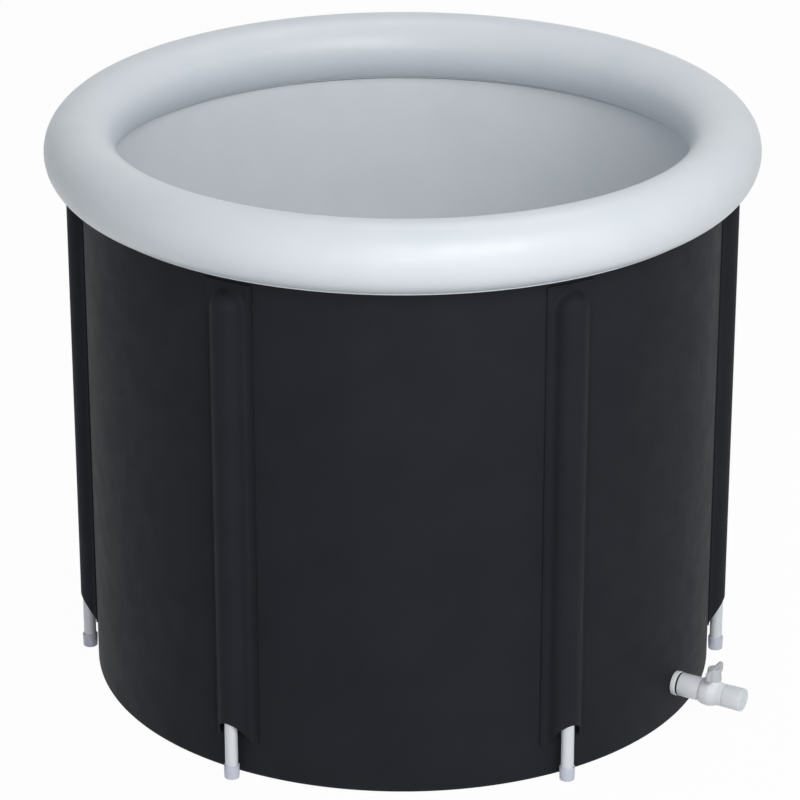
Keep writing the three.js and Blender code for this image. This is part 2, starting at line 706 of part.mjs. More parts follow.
function plugSeal() {
  const inside = PLUG_DIAMETER / 2 - PLUG_SEAL_DEPTH + SEAT_GAP;
  const outside = PLUG_DIAMETER / 2 + RUNNING_GAP / 2;
  return drainTurned(sleeve(inside, outside, plugSealStart, plugSealStart + PLUG_SEAL_WIDTH));
}

function drainGroup() {
  return turnedGroup(
    DRAIN_ANGLE,
    piece("drain_bulkhead", bulkhead(), "whitePlastic"),
    piece("drain_gasket", drainTurned(sleeve(tubeHole, flangeRadius, gasketInside, gasketOutside)), "blackRubber"),
    piece("drain_strainer", strainer(), "whitePlastic"),
    piece("drain_collar", lockCollar(), "whitePlastic"),
    piece("drain_seal", drainTurned(sleeve(tubeHole, SEAL_DIAMETER / 2, sealStart, sealEnd)), "blackRubber"),
    piece("valve_body", valveBody(), "whitePlastic"),
    piece("valve_outlet", valveOutlet(), "whitePlastic"),
    piece("ball_seat_inner", ballSeat(-1), "seatPlastic"),
    piece("ball_seat_outer", ballSeat(1), "seatPlastic"),
    piece("valve_ball", valveBall(), "whitePlastic"),
    piece("valve_stem", valveStem(), "whitePlastic"),
    piece("stem_seal", stemSeal(), "blackRubber"),
    piece("valve_handle", valveHandle(), "handlePlastic"),
    piece("outlet_plug", outletPlug(), "whitePlastic"),
    piece("plug_seal", plugSeal(), "blackRubber"),
  );
}

// Inflation valve pieces lie along X at the height of the ring's middle.
function airTurned(profile) {
  return turnedAlongX(profile).translate(0, 0, ringHeight);
}

function airValveBase() {
  const skin = cut(ringTube(flangeTop, TUBE_STEPS), ringTube(SEAT_GAP, TUBE_STEPS));
  skin.rotateZ(THREE.MathUtils.degToRad(-AIR_ANGLE)); // same facets as the ring under the flange
  const flange = common(skin, airTurned(sleeve(0, AIR_FLANGE_DIAMETER / 2, airInner, airOuter)));
  const boss = airTurned(sleeve(0, AIR_BOSS_DIAMETER / 2, airInner, airOuter));
  const bore = airTurned(sleeve(0, AIR_BORE / 2, airInner - SEAT_GAP, airOuter + SEAT_GAP));
  const spider = block(SPIDER_THICKNESS, SPIDER_WIDTH, AIR_BORE + SPIDER_WIDTH / 2);
  spider.translate(airInner + SPIDER_THICKNESS / 2, 0, ringHeight);
  const pinHole = airTurned(sleeve(0, FLAP_STEM / 2 + SEAT_GAP, airInner - SEAT_GAP, airSeat));
  return cut(join(cut(join(flange, boss), bore), spider), pinHole);
}

function airValveFlap() {
  const seat = airInner - SEAT_GAP;
  const bulbStart = airInner + SPIDER_THICKNESS + SEAT_GAP;
  const stem = FLAP_STEM / 2;
  return airTurned([
    [0, seat - FLAP_THICKNESS],
    [FLAP_DIAMETER / 2, seat - FLAP_THICKNESS],
    [FLAP_DIAMETER / 2, seat],
    [stem, seat],
    [stem, bulbStart],
    [FLAP_BULB / 2, bulbStart],
    [stem, bulbStart + FLAP_BULB / 2],
    [0, bulbStart + FLAP_BULB / 2],
  ]);
}

// Side outline of the strap, from the cap's head over the rim to its root on the flange.
function capStrap() {
  const headBottom = airOuter + SEAT_GAP;
  const headEdge = CAP_HEAD_DIAMETER / 2;
  const rimClear = AIR_BOSS_DIAMETER / 2 + SEAT_GAP;
  const outline = new THREE.Shape();
  outline.moveTo(headBottom, headEdge - STRAP_THICKNESS);
  outline.lineTo(headBottom + STRAP_THICKNESS, headEdge - STRAP_THICKNESS);
  outline.lineTo(headBottom + STRAP_THICKNESS, rimClear + STRAP_THICKNESS / 2);
  outline.lineTo(strapRoot + STRAP_THICKNESS, STRAP_REACH);
  outline.lineTo(strapRoot, STRAP_REACH);
  outline.lineTo(headBottom, rimClear);
  const options = { depth: STRAP_WIDTH, bevelEnabled: false };
  return new THREE.ExtrudeGeometry(outline, options)
    .rotateX(Math.PI / 2)
    .translate(0, STRAP_WIDTH / 2, ringHeight);
}

function airValveCap() {
  const headBottom = airOuter + SEAT_GAP;
  const headTop = headBottom + CAP_HEAD_THICKNESS;
  const headEdge = CAP_HEAD_DIAMETER / 2;
  const plug = AIR_BORE / 2 - RUNNING_GAP;
  const head = airTurned([
    [0, headBottom - CAP_PLUG_DEPTH],
    [plug - CAP_PLUG_TAPER, headBottom - CAP_PLUG_DEPTH],
    [plug, headBottom],
    [headEdge, headBottom],
    [headEdge, headTop - EDGE_BREAK],
    [headEdge - EDGE_BREAK, headTop],
    [0, headTop],
  ]);
  return join(head, capStrap());
}

function airValveGroup() {
  return turnedGroup(
    AIR_ANGLE,
    piece("air_valve_base", airValveBase(), "whiteVinyl"),
    piece("air_valve_flap", airValveFlap(), "blackRubber"),
    piece("air_valve_cap", airValveCap(), "whiteVinyl"),
  );
}

const tub = new THREE.Group();
tub.add(
  piece("outer_skin", outerSkin(), "blackSkin"),
  piece("wall_foam", wallFoam(), "foam"),
  piece("liner_wall", linerWall(), "whiteVinyl"),
  piece("base_sheet", disc(filletRadius, 0, BASE_THICKNESS), "blackSkin"),
  piece("base_foam", disc(filletRadius, baseFoamBottom, baseFoamTop), "foam"),
  piece("liner_floor", linerFloor(), "whiteVinyl"),
  piece("ring_band", ringBand(), "whiteVinyl"),
  piece("air_ring", airRing(), "whiteVinyl"),
  drainGroup(),
  airValveGroup(),
);
for (let number = 1; number <= POLE_COUNT; number += 1) {
  tub.add(poleGroup(number));
}

export default tub;
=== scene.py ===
import json
import math

import bmesh
import bpy
from mathutils import Matrix, Vector, noise


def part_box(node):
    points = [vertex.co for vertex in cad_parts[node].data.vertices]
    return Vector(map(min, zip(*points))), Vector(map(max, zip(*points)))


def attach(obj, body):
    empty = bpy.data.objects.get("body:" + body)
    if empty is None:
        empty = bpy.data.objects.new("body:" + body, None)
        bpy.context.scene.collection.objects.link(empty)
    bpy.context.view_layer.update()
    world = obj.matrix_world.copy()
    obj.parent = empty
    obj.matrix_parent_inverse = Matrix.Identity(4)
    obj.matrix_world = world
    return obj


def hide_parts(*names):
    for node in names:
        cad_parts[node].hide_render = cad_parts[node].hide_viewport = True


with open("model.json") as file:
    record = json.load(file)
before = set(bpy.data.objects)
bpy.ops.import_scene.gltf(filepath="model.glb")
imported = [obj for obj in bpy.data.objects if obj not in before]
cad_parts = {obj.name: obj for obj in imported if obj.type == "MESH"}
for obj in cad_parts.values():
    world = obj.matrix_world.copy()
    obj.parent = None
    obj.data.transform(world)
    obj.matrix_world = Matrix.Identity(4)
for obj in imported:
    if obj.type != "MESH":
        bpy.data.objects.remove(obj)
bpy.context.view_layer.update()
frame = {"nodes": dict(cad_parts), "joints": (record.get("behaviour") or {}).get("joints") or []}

# Round cold plunge tub: looks built around the fixed frame, in metres.
MM = 0.001
TURN = 2 * math.pi

# Sizes read from the frame
skin_low, skin_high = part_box("outer_skin")
ring_low, ring_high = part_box("air_ring")
foam_low, foam_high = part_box("wall_foam")
liner_low, liner_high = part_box("liner_wall")
floor_low, floor_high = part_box("liner_floor")
base_low, base_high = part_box("base_sheet")
pad_low, pad_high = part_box("base_foam")
pole_low, pole_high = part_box("pole_1")
cap_low, cap_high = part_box("foot_cap_1")
plug_low, plug_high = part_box("top_plug_1")
pocket_low, pocket_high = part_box("pole_pocket_1")
joint_named = {joint["name"]: joint for joint in frame["joints"]}

# Wall, base and liner
WALL_RADIUS = skin_high.y
WALL_TOP = skin_high.z
SKIN = 1.2 * MM
SEAT_GAP = 0.3 * MM
BASE_FILLET = 6 * MM
HEM_WIDTH = 20 * MM
HEM_BOTTOM = skin_low.z
FOAM_OUTSIDE = foam_high.y
FOAM_THICKNESS = 5 * MM
LINER_OUTSIDE = liner_high.y
LINER = 1 * MM
LINER_RIPPLE = 0.9 * MM
LINER_RIPPLE_SIZE = 90 * MM
LINER_RIPPLE_SQUEEZE = 0.45
FLOOR_CORNER = 10 * MM
FLOOR_RIPPLE = 1.4 * MM
FLOOR_RIPPLE_SIZE = 70 * MM
SEAM_WIDTH = 22 * MM
SEAM_RISE = 0.7 * MM
SEAM_ANGLE = math.radians(98)

# Inflated ring and its weld band
RING_HALF_HEIGHT = (ring_high.z - ring_low.z) / 2
RING_HEIGHT = (ring_high.z + ring_low.z) / 2
RING_HALF_WIDTH = 44.3 * MM
RING_RADIUS = -ring_low.y - RING_HALF_WIDTH
RING_CENTRE = (RING_RADIUS, RING_HEIGHT)
BAND_HALF_ANGLE = math.radians(17)
BAND = 1.5 * MM

# Poles and pockets
POLES = range(1, 7)
POLE_RADIUS = 8 * MM
POLE_WALL = 1.6 * MM
POLE_CENTRE = (cap_low.x + cap_high.x) / 2
CAP_RADIUS = 9.8 * MM
CAP_FLOOR = 3 * MM
CAP_TAPER = 0.5 * MM
POCKET_SKIN = 1.6 * MM
POCKET_HALF_WIDTH = 32 * MM
POCKET_BOTTOM = pocket_low.z
POCKET_TOP = pocket_high.z
PLUG_DOME = 6 * MM
DOME_CENTRE = plug_high.z - PLUG_DOME
CHANNEL_HALF_WIDTH = 21 * MM
CHANNEL_RISE = pocket_high.x - WALL_RADIUS - SEAT_GAP - POCKET_SKIN
CREASE_ANGLE = math.radians(21)
MOUTH_SLOPE = math.tan(math.radians(55))
WELD_LINE = 28.5 * MM
WELD_LINE_WIDTH = 1.6 * MM
WELD_LINE_DEPTH = 0.45 * MM

# Drain: distances run outwards from the tub's axis along the pipe, sizes across it are radii
DRAIN_ANGLE = math.radians(-30)
DRAIN_HEIGHT = joint_named["drain_handle_turn"]["pos_m"][2]
VALVE_CENTRE = math.hypot(*joint_named["drain_handle_turn"]["pos_m"][:2])
DRAIN_PLACE = Matrix.Rotation(DRAIN_ANGLE, 4, "Z") @ Matrix.Translation((0, 0, DRAIN_HEIGHT))
STEM_PLACE = DRAIN_PLACE @ Matrix.Translation((VALVE_CENTRE, 0, 0))
ALONG_X = Matrix.Rotation(math.pi / 2, 4, "Y")
BORE = 8 * MM
TUBE = 12 * MM
TUBE_HOLE = TUBE + SEAT_GAP
FLANGE = 20 * MM
FLANGE_THICKNESS = 3 * MM
GASKET_THICKNESS = 1.5 * MM
GASKET_SEAT = 390.7 * MM
FLANGE_OUTSIDE = GASKET_SEAT - GASKET_THICKNESS - SEAT_GAP
FLANGE_INSIDE = FLANGE_OUTSIDE - FLANGE_THICKNESS
COLLAR = 15.5 * MM
COLLAR_START = WALL_RADIUS + SEAT_GAP
COLLAR_END = COLLAR_START + 6.6 * MM
SEAL = 14.8 * MM
SEAL_START = COLLAR_END + SEAT_GAP
SEAL_END = SEAL_START + 1.9 * MM
SOCKET = 15 * MM
SOCKET_START = SEAL_END + SEAT_GAP
SOCKET_END = SOCKET_START + 29 * MM
SOCKET_FLOOR = SOCKET_START + 20 * MM
BULGE = 18 * MM
BULGE_EDGE = 15.2 * MM
BULGE_CROWN = SOCKET_END + 12 * MM
BULGE_FOOT = SOCKET_END + 27 * MM
BODY_END = 2 * VALVE_CENTRE - SOCKET_END
BODY_CREASE = 1 * MM
CHAMBER = 13 * MM
SEAT_POCKET = 11.3 * MM
SEAT_MOUTH = 8 * MM
SEAT_BACK = 13.3 * MM
INSERT = 12.7 * MM
OUTLET = 14.5 * MM
OUTLET_FLARE = 15 * MM
OUTLET_START = BODY_END + SEAT_GAP
OUTLET_END = OUTLET_START + 24.5 * MM
STOPPER = 11 * MM
STOPPER_HOLE = STOPPER + SEAT_GAP
STOPPER_GROOVE = 9.8 * MM
STOPPER_START = OUTLET_END - 12 * MM
STOPPER_SEAL = 2 * MM
COIN_SLOT = (2.8 * MM, 14 * MM, 2.2 * MM)

# Neck, stem and handle of the drain valve: heights count from the pipe's axis
NECK = 5.8 * MM
NECK_FOOT = 13.4 * MM
NECK_TOP = 22 * MM
BOSS = 8 * MM
BOSS_SWEEP = 2.6 * MM
STEM_HOLE = 4.2 * MM
STEM_TOP = 29 * MM
HUB = 9.6 * MM
HUB_CROWN = 8.4 * MM
HUB_BOTTOM = 18.4 * MM
BOSS_TOP = HUB_BOTTOM - SEAT_GAP
HUB_TOP = 34.5 * MM
WING_REACH = 21 * MM
WING_THICKNESS = 5 * MM
WING_BOTTOM = 21.6 * MM
WING_TOP = 35.2 * MM
WING_HEEL = 6 * MM
WING_ROUND = 2.5 * MM

# Strainer over the drain's inner flange
STRAINER = 13 * MM
STRAINER_FACE = FLANGE_INSIDE - SEAT_GAP
STRAINER_FRONT = STRAINER_FACE - 1.6 * MM
STRAINER_SKIRT = BORE - SEAT_GAP
STRAINER_OPENING = STRAINER_SKIRT - 1.5 * MM
STRAINER_DEPTH = 6 * MM
STRAINER_SLOTS = 3
STRAINER_SLOT_WIDTH = 2.4 * MM

# Inflation valve at the rear of the ring: distances run outwards from the tub's axis
AIR_ANGLE = math.radians(90)
AIR_PLACE = Matrix.Rotation(AIR_ANGLE, 4, "Z") @ Matrix.Translation((0, 0, RING_HEIGHT))
AIR_SEAT = RING_RADIUS + RING_HALF_WIDTH
AIR_BOSS = 10.5 * MM
AIR_FLANGE = 17 * MM
AIR_FLANGE_START = AIR_BOSS - 1.5 * MM
AIR_FLANGE_THICKNESS = 1.2 * MM
AIR_BORE = 7.5 * MM
AIR_INNER = AIR_SEAT - 12 * MM
AIR_OUTER = AIR_SEAT + 2.5 * MM
SPIDER = (1.5 * MM, 3 * MM, 16 * MM)
LID = 10.2 * MM
LID_BOTTOM = AIR_OUTER + SEAT_GAP
LID_TOP = LID_BOTTOM + 2.2 * MM
LID_DISH = 6 * MM
LID_DISH_DEPTH = 0.6 * MM
LID_PLUG = 7.2 * MM
LID_PLUG_TIP = 6.6 * MM
LID_PLUG_DEPTH = 3 * MM
STRAP_HALF_WIDTH = 3.5 * MM
STRAP_THICKNESS = 1.2 * MM
STRAP_BEND = 10.9 * MM

# Rounds along the edges of the pieces
SEAM_EDGE = 0.25 * MM
SHEET_EDGE = 0.4 * MM
PAD_EDGE = 1 * MM
PIPE_EDGE = 0.5 * MM
CAP_EDGE = 1.1 * MM
POLE_PLUG_EDGE = 0.4 * MM
COLLAR_EDGE = 0.7 * MM
GASKET_EDGE = 0.35 * MM
SEAL_EDGE = 0.5 * MM
BODY_EDGE = 0.5 * MM
NECK_EDGE = 0.3 * MM
STEM_HOLE_EDGE = 0.05 * MM
OUTLET_EDGE = 0.9 * MM
STOPPER_EDGE = 0.5 * MM
STOPPER_SEAL_EDGE = 0.4 * MM
WING_EDGE = 1 * MM
HUB_EDGE = 1.2 * MM
HUB_SOCKET_EDGE = 0.1 * MM
STRAINER_EDGE = 0.5 * MM
AIR_FLANGE_EDGE = 0.3 * MM
AIR_BOSS_EDGE = 0.4 * MM
LID_EDGE = 0.5 * MM
STRAP_EDGE = 0.3 * MM
EDGE_SHARP = math.radians(32)

# Steps of the round shapes
TUB_STEPS = 216
SMALL_STEPS = 64
RING_SECTION_STEPS = 72
CORNER_STEPS = 10
FLOOR_CORNER_STEPS = 8
CROWN_STEPS = 12
FALL_STEPS = 14
SWEEP_STEPS = 6
EDGE_STEPS = 3
THIN_EDGE_STEPS = 2
WIDE_EDGE_STEPS = 4

# Points closer than this are one point, after a turn and after a boolean
TURN_MERGE = 0.001 * MM
BOOLEAN_MERGE = 0.005 * MM

# Finish: scale of the patches in tone and gloss, roughness of a coat, strength of the relief
MOTTLE_SCALE = 14.0
SHEEN_SCALE = 40.0
COAT_ROUGHNESS = 0.3
RELIEF = 0.35

# Stage, light and camera
WHITE = (1, 1, 1, 1)
FLOOR_REACH = 20
FLOOR_DROP = 0.5 * MM
FLOOR_GREY = (0.88, 0.88, 0.88, 1)
FLOOR_ROUGHNESS = 0.9
FLOOR_SPECULAR = 0.1
FLOOR_WHITE_SHARE = 0.97
SKY = (0.86, 0.935, 1.0, 1)
SKY_STRENGTH = 0.27
SKY_WHITE_SHARE = 1.0
LIGHT_TARGET = (0, 0, 0.5)
SENSOR_WIDTH = 36
FOCAL_LENGTH = 164.8
CAMERA_SHIFT = -0.0033
CAMERA_PLACE = (0.049, -4.323, 2.1965)
CAMERA_TILT = math.radians(66.906)
CAMERA_TURN = math.radians(0.65)


def arc(centre, radii, start, end, steps):
    """Points along an ellipse from one angle in degrees to another, as (radius, height)."""
    points = []
    for i in range(steps + 1):
        angle = math.radians(start + (end - start) * i / steps)
        points.append((centre[0] + radii[0] * math.cos(angle), centre[1] + radii[1] * math.sin(angle)))
    return points


def sleeve(inside, outside, start, end):
    """Section of a sleeve, or of a disc where the inside is 0."""
    return [(inside, start), (outside, start), (outside, end), (inside, end)]


def turned(profile, steps=SMALL_STEPS, closed=True):
    """A body turned about Z from (radius, distance) points. An open profile starts and ends on the axis."""
    bm = bmesh.new()
    verts = [bm.verts.new((radius, 0, distance)) for radius, distance in profile]
    edges = [bm.edges.new(pair) for pair in zip(verts, verts[1:])]
    if closed:
        edges.append(bm.edges.new((verts[-1], verts[0])))
    bmesh.ops.spin(
        bm, geom=verts + edges, cent=(0, 0, 0), axis=(0, 0, 1), angle=TURN, steps=steps, use_merge=True
    )
    bmesh.ops.remove_doubles(bm, verts=bm.verts, dist=TURN_MERGE)
    bmesh.ops.recalc_face_normals(bm, faces=bm.faces)
    return bm


def soften(bm, width, segments=EDGE_STEPS):
    """Rounds every edge where two faces meet at a marked angle."""
    sharp = [edge for edge in bm.edges if edge.is_manifold and edge.calc_face_angle() > EDGE_SHARP]
    bmesh.ops.bevel(
        bm, geom=sharp, offset=width, offset_type="OFFSET", segments=segments, profile=0.5,
        affect="EDGES", material=-1, clamp_overlap=True,
    )
    return bm


def placed(bm, matrix):
    bmesh.ops.transform(bm, matrix=matrix, verts=bm.verts)
    return bm


def box(size, place):
    bm = bmesh.new()
    bmesh.ops.create_cube(bm, size=1)
    bmesh.ops.scale(bm, vec=size, verts=bm.verts)
    return placed(bm, place)


def new_verts(made):
    """The vertices among what an operator made."""
    return [item for item in made["geom"] if isinstance(item, bmesh.types.BMVert)]


def mesh_from(name, bm):
    """A mesh of a finished shape, which is freed."""
    mesh = bpy.data.meshes.new(name)
    bm.to_mesh(mesh)
    bm.free()
    return mesh


def new_object(name, data):
    made = bpy.data.objects.new(name, data)
    bpy.context.scene.collection.objects.link(made)
    return made


def combined(bm, other, operation):
    """Two closed shapes joined or cut by the exact boolean, as one new shape."""
    made = [new_object("boolean", mesh_from("boolean", shape)) for shape in (bm, other)]
    modifier = made[0].modifiers.new("boolean", "BOOLEAN")
    modifier.object = made[1]
    modifier.operation = operation
    modifier.solver = "EXACT"
    result = bmesh.new()
    result.from_object(made[0], bpy.context.evaluated_depsgraph_get())
    for obj in made:
        bpy.data.meshes.remove(obj.data)
    bmesh.ops.remove_doubles(result, verts=result.verts, dist=BOOLEAN_MERGE)
    return result


def wrap_uv(bm, radius):
    """A map in metres: round the tub, and up the wall or in along its turned edges."""
    layer = bm.loops.layers.uv.new("wrap")
    for face in bm.faces:
        centre = face.calc_center_median()
        middle = math.atan2(centre.y, centre.x)
        for loop in face.loops:
            point = loop.vert.co
            turn = (math.atan2(point.y, point.x) - middle + math.pi) % TURN - math.pi
            inwards = radius - math.hypot(point.x, point.y)
            loop[layer].uv = ((middle + turn) * radius, point.z + inwards)
    return bm


def piece(name, bm, body, slot, material, *nodes):
    """A finished object that rides on a body and stands for its CAD nodes."""
    mesh = mesh_from(name, bm)
    mesh.materials.append(material)
    mesh.shade_smooth()
    mesh.set_sharp_from_angle(angle=EDGE_SHARP)
    made = new_object(name, mesh)
    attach(made, body)
    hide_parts(*nodes)


# Shader node groups
def add(tree, kind, inputs=None, **settings):
    """A new node: its inputs take a socket as a link, and anything else as a value."""
    made = tree.nodes.new(kind)
    for key, value in settings.items():
        setattr(made, key, value)
    for key, value in (inputs or {}).items():
        if isinstance(value, bpy.types.NodeSocket):
            tree.links.new(value, made.inputs[key])
        else:
            made.inputs[key].default_value = value
    return made


def group(name, inputs, outputs):
    """An empty group with a vector and named values going in, and named values coming out."""
    tree = bpy.data.node_groups.new(name, "ShaderNodeTree")
    tree.interface.new_socket("Vector", in_out="INPUT", socket_type="NodeSocketVector")
    for label, value in inputs.items():
        socket = tree.interface.new_socket(label, in_out="INPUT", socket_type="NodeSocketFloat")
        socket.default_value = value
    for label in outputs:
        tree.interface.new_socket(label, in_out="OUTPUT", socket_type="NodeSocketFloat")
    return tree, tree.nodes.new("NodeGroupInput").outputs, tree.nodes.new("NodeGroupOutput").inputs


def uneven_group():
    """Slow drift over a surface between a low and a high value."""
    tree, inputs, outputs = group("uneven", {"Scale": 8.0, "Low": 0.0, "High": 1.0}, ["Value"])
    drift = add(
        tree, "ShaderNodeTexNoise",
        {"Vector": inputs["Vector"], "Scale": inputs["Scale"], "Detail": 4.0},
    )
    spread = add(
        tree, "ShaderNodeMapRange",
        {"Value": drift.outputs["Fac"], "From Min": 0.3, "From Max": 0.7,
         "To Min": inputs["Low"], "To Max": inputs["High"]},
    )
    tree.links.new(spread.outputs["Result"], outputs["Value"])
    return tree


def grain_group():
    """Fine moulded or pressed grain: rounded cells over a softer swell."""
    tree, inputs, outputs = group("grain", {"Scale": 900.0, "Swell": 0.35}, ["Height"])
    cells = add(
        tree, "ShaderNodeTexVoronoi", {"Vector": inputs["Vector"], "Scale": inputs["Scale"]},
        feature="SMOOTH_F1",
    )
    swell = add(tree, "ShaderNodeTexNoise", {"Vector": inputs["Vector"], "Scale": 35.0, "Detail": 3.0})
    lifted = add(
        tree, "ShaderNodeMath", {0: swell.outputs["Fac"], 1: inputs["Swell"], 2: cells.outputs["Distance"]},
        operation="MULTIPLY_ADD",
    )
    tree.links.new(lifted.outputs["Value"], outputs["Height"])
    return tree


def weave_group():
    """Threads of a coated cloth, crossing over and under, seen through the coat."""
    tree, inputs, outputs = group("weave", {"Scale": 220.0}, ["Height"])
    threads = [
        add(
            tree, "ShaderNodeTexWave",
            {"Vector": inputs["Vector"], "Scale": inputs["Scale"], "Distortion": 0.6},
            bands_direction=direction,
        )
        for direction in ("X", "Y")
    ]
    crossed = add(
        tree, "ShaderNodeMath", {0: threads[0].outputs["Fac"], 1: threads[1].outputs["Fac"]},
        operation="MULTIPLY",
    )
    tree.links.new(crossed.outputs["Value"], outputs["Height"])
    return tree


UNEVEN = uneven_group()
GRAIN = grain_group()
WEAVE = weave_group()


def surface(name, tones, gloss, grain, bump, specular=0.5, coat=0.0, woven=False):
    """A finish with two close tones, uneven gloss and a grain or a weave under its coat."""
    material = bpy.data.materials.new(name)
    material.use_nodes = True
    tree = material.node_tree
    shader = tree.nodes["Principled BSDF"]
    shader.inputs["Specular IOR Level"].default_value = specular
    shader.inputs["Coat Weight"].default_value = coat
    shader.inputs["Coat Roughness"].default_value = COAT_ROUGHNESS
    coords = add(tree, "ShaderNodeTexCoord")
    where = coords.outputs["Object"]
    mottle = add(tree, "ShaderNodeGroup", {"Vector": where, "Scale": MOTTLE_SCALE}, node_tree=UNEVEN)
    tint = add(tree, "ShaderNodeValToRGB", {"Fac": mottle.outputs["Value"]})
    for stop, tone in zip(tint.color_ramp.elements, tones):
        stop.color = (*tone, 1)
    tree.links.new(tint.outputs["Color"], shader.inputs["Base Color"])
    sheen = add(
        tree, "ShaderNodeGroup",
        {"Vector": where, "Scale": SHEEN_SCALE, "Low": gloss[0], "High": gloss[1]}, node_tree=UNEVEN,
    )
    tree.links.new(sheen.outputs["Value"], shader.inputs["Roughness"])
    texture = add(
        tree, "ShaderNodeGroup",
        {"Vector": coords.outputs["UV"] if woven else where, "Scale": grain},
        node_tree=WEAVE if woven else GRAIN,
    )
    relief = add(
        tree, "ShaderNodeBump",
        {"Height": texture.outputs["Height"], "Strength": RELIEF, "Distance": bump},
    )
    tree.links.new(relief.outputs["Normal"], shader.inputs["Normal"])
    return material


SKIN_COAT = surface(
    "skin_coat", tones=((0.0136, 0.0151, 0.0196), (0.0161, 0.0178, 0.0227)), gloss=(0.62, 0.70),
    grain=220, bump=0.12 * MM, specular=0.11, woven=True,
)
RING_VINYL = surface(
    "ring_vinyl", tones=((0.75, 0.785, 0.825), (0.78, 0.81, 0.845)), gloss=(0.36, 0.46),
    grain=650, bump=0.10 * MM, coat=0.12,
)
LINER_VINYL = surface(
    "liner_vinyl", tones=((0.80, 0.83, 0.86), (0.84, 0.86, 0.885)), gloss=(0.40, 0.52),
    grain=500, bump=0.14 * MM,
)
WHITE_PLASTIC = surface(
    "white_plastic", tones=((0.83, 0.855, 0.885), (0.86, 0.88, 0.905)), gloss=(0.28, 0.38),
    grain=1400, bump=0.05 * MM,
)
CAP_PLASTIC = surface(
    "cap_plastic", tones=((0.63, 0.65, 0.75), (0.67, 0.69, 0.79)), gloss=(0.40, 0.50),
    grain=1600, bump=0.08 * MM,
)
HANDLE_PLASTIC = surface(
    "handle_plastic", tones=((0.56, 0.585, 0.605), (0.60, 0.625, 0.645)), gloss=(0.40, 0.50),
    grain=1500, bump=0.08 * MM,
)
SEAT_PLASTIC = surface(
    "seat_plastic", tones=((0.82, 0.82, 0.79), (0.86, 0.86, 0.83)), gloss=(0.25, 0.33),
    grain=1500, bump=0.03 * MM,
)
BLACK_RUBBER = surface(
    "black_rubber", tones=((0.010, 0.010, 0.011), (0.015, 0.015, 0.016)), gloss=(0.55, 0.68),
    grain=1200, bump=0.10 * MM, specular=0.35,
)
WALL_FOAM = surface(
    "wall_foam", tones=((0.54, 0.56, 0.58), (0.62, 0.64, 0.66)), gloss=(0.85, 0.95),
    grain=420, bump=0.5 * MM, specular=0.2,
)


# Wall and base
def drain_hole():
    """Round hole through the wall's layers for the drain's tube."""
    hole = turned(sleeve(0, TUBE_HOLE, FLANGE_INSIDE, COLLAR_END), closed=False)
    return placed(hole, DRAIN_PLACE @ ALONG_X)


def outer_skin():
    """The wall's sheet, turned in under the base as a hem, with a hole for the drain."""
    fillet = (WALL_RADIUS - BASE_FILLET, HEM_BOTTOM + BASE_FILLET)
    hem_edge = fillet[0] - HEM_WIDTH
    inside = BASE_FILLET - SKIN
    profile = [(hem_edge, HEM_BOTTOM)]
    profile += arc(fillet, (BASE_FILLET, BASE_FILLET), -90, 0, CORNER_STEPS)
    profile += [(WALL_RADIUS, WALL_TOP), (WALL_RADIUS - SKIN, WALL_TOP)]
    profile += arc(fillet, (inside, inside), 0, -90, CORNER_STEPS)
    profile += [(hem_edge, HEM_BOTTOM + SKIN)]
    bm = combined(turned(profile, TUB_STEPS), drain_hole(), "DIFFERENCE")
    wrap_uv(bm, WALL_RADIUS)
    piece("outer_skin_sheet", bm, "tub", "black_skin", SKIN_COAT, "outer_skin")


def skin_seam():
    """Flat overlap strip of the wall's own sheet, from the bottom fillet to the top edge."""
    bm = bmesh.new()
    bmesh.ops.create_grid(bm, x_segments=12, y_segments=24, size=0.5)
    bottom = HEM_BOTTOM + BASE_FILLET
    for vert in bm.verts:
        angle = SEAM_ANGLE + vert.co.x * SEAM_WIDTH / WALL_RADIUS
        height = bottom + (vert.co.y + 0.5) * (WALL_TOP - bottom)
        vert.co = (WALL_RADIUS * math.cos(angle), WALL_RADIUS * math.sin(angle), height)
    raised = bmesh.ops.extrude_face_region(bm, geom=bm.faces[:])
    for vert in new_verts(raised):
        vert.co.xy *= 1 + SEAM_RISE / WALL_RADIUS
    bmesh.ops.recalc_face_normals(bm, faces=bm.faces)
    wrap_uv(soften(bm, SEAM_EDGE, THIN_EDGE_STEPS), WALL_RADIUS)
    piece("outer_skin_seam", bm, "tub", "black_skin", SKIN_COAT)


def ripple(point, size, depth):
    """Soft random swell of a sheet, from 0 to its depth."""
    return depth * (0.5 + 0.5 * noise.noise(point * (1 / size)))


def foam_layer():
    inside = FOAM_OUTSIDE - FOAM_THICKNESS
    foam = turned(sleeve(inside, FOAM_OUTSIDE, foam_low.z, foam_high.z), TUB_STEPS)
    foam = combined(foam, drain_hole(), "DIFFERENCE")
    piece("wall_foam_layer", foam, "tub", "wall_foam", WALL_FOAM, "wall_foam")


def liner_wall():
    """The liner's upright sheet, level outside and softly uneven inside."""
    rows = 48
    inside = LINER_OUTSIDE - LINER
    climb = [liner_low.z + (liner_high.z - liner_low.z) * row / rows for row in range(rows + 1)]
    profile = [(LINER_OUTSIDE, liner_low.z), (LINER_OUTSIDE, liner_high.z)]
    profile += [(inside, height) for height in reversed(climb)]
    bm = turned(profile, TUB_STEPS)
    for vert in bm.verts:
        radius = math.hypot(vert.co.x, vert.co.y)
        if radius < inside + LINER / 2:
            point = Vector((vert.co.x, vert.co.y, vert.co.z * LINER_RIPPLE_SQUEEZE))
            swell = ripple(point, LINER_RIPPLE_SIZE, LINER_RIPPLE)
            vert.co.xy *= (radius - swell) / radius
    bm = combined(bm, drain_hole(), "DIFFERENCE")
    piece("liner_wall_sheet", bm, "tub", "white_vinyl", LINER_VINYL, "liner_wall")


